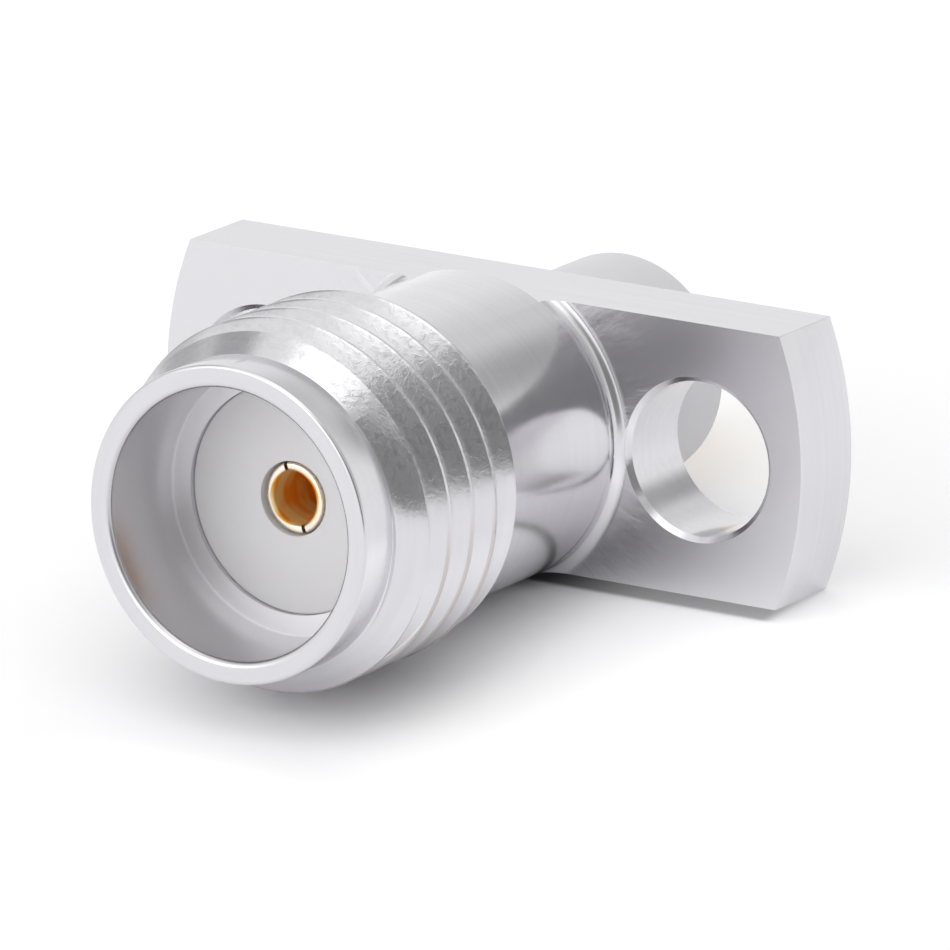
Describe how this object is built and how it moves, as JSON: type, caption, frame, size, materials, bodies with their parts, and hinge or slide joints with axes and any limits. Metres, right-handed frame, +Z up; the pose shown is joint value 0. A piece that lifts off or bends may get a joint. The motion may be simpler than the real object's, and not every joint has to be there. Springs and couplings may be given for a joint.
{
  "type": "coaxial connector jack",
  "caption": "Threaded coaxial jack with a narrow screw flange, a white insulator that stands out behind it and a gold centre contact with a solder cup.",
  "frame": {"origin": "centre of the flange's rear face, the face that lies on the panel, on the connector's axis", "axes": "the mating end points to -Y, +Y is behind the panel, +X runs along the flange's length and +Z is up"},
  "size_m": [0.0126, 0.0147, 0.0064],
  "materials": {
    "body_metal": "bright turned stainless steel, passivated",
    "insulator_ptfe": "turned white PTFE, matte",
    "contact_gold": "gold plated, smooth"
  },
  "bodies": {
    "root": {"body": "body_metal", "insulator": "insulator_ptfe", "contact": "contact_gold"}
  },
  "joints": []
}
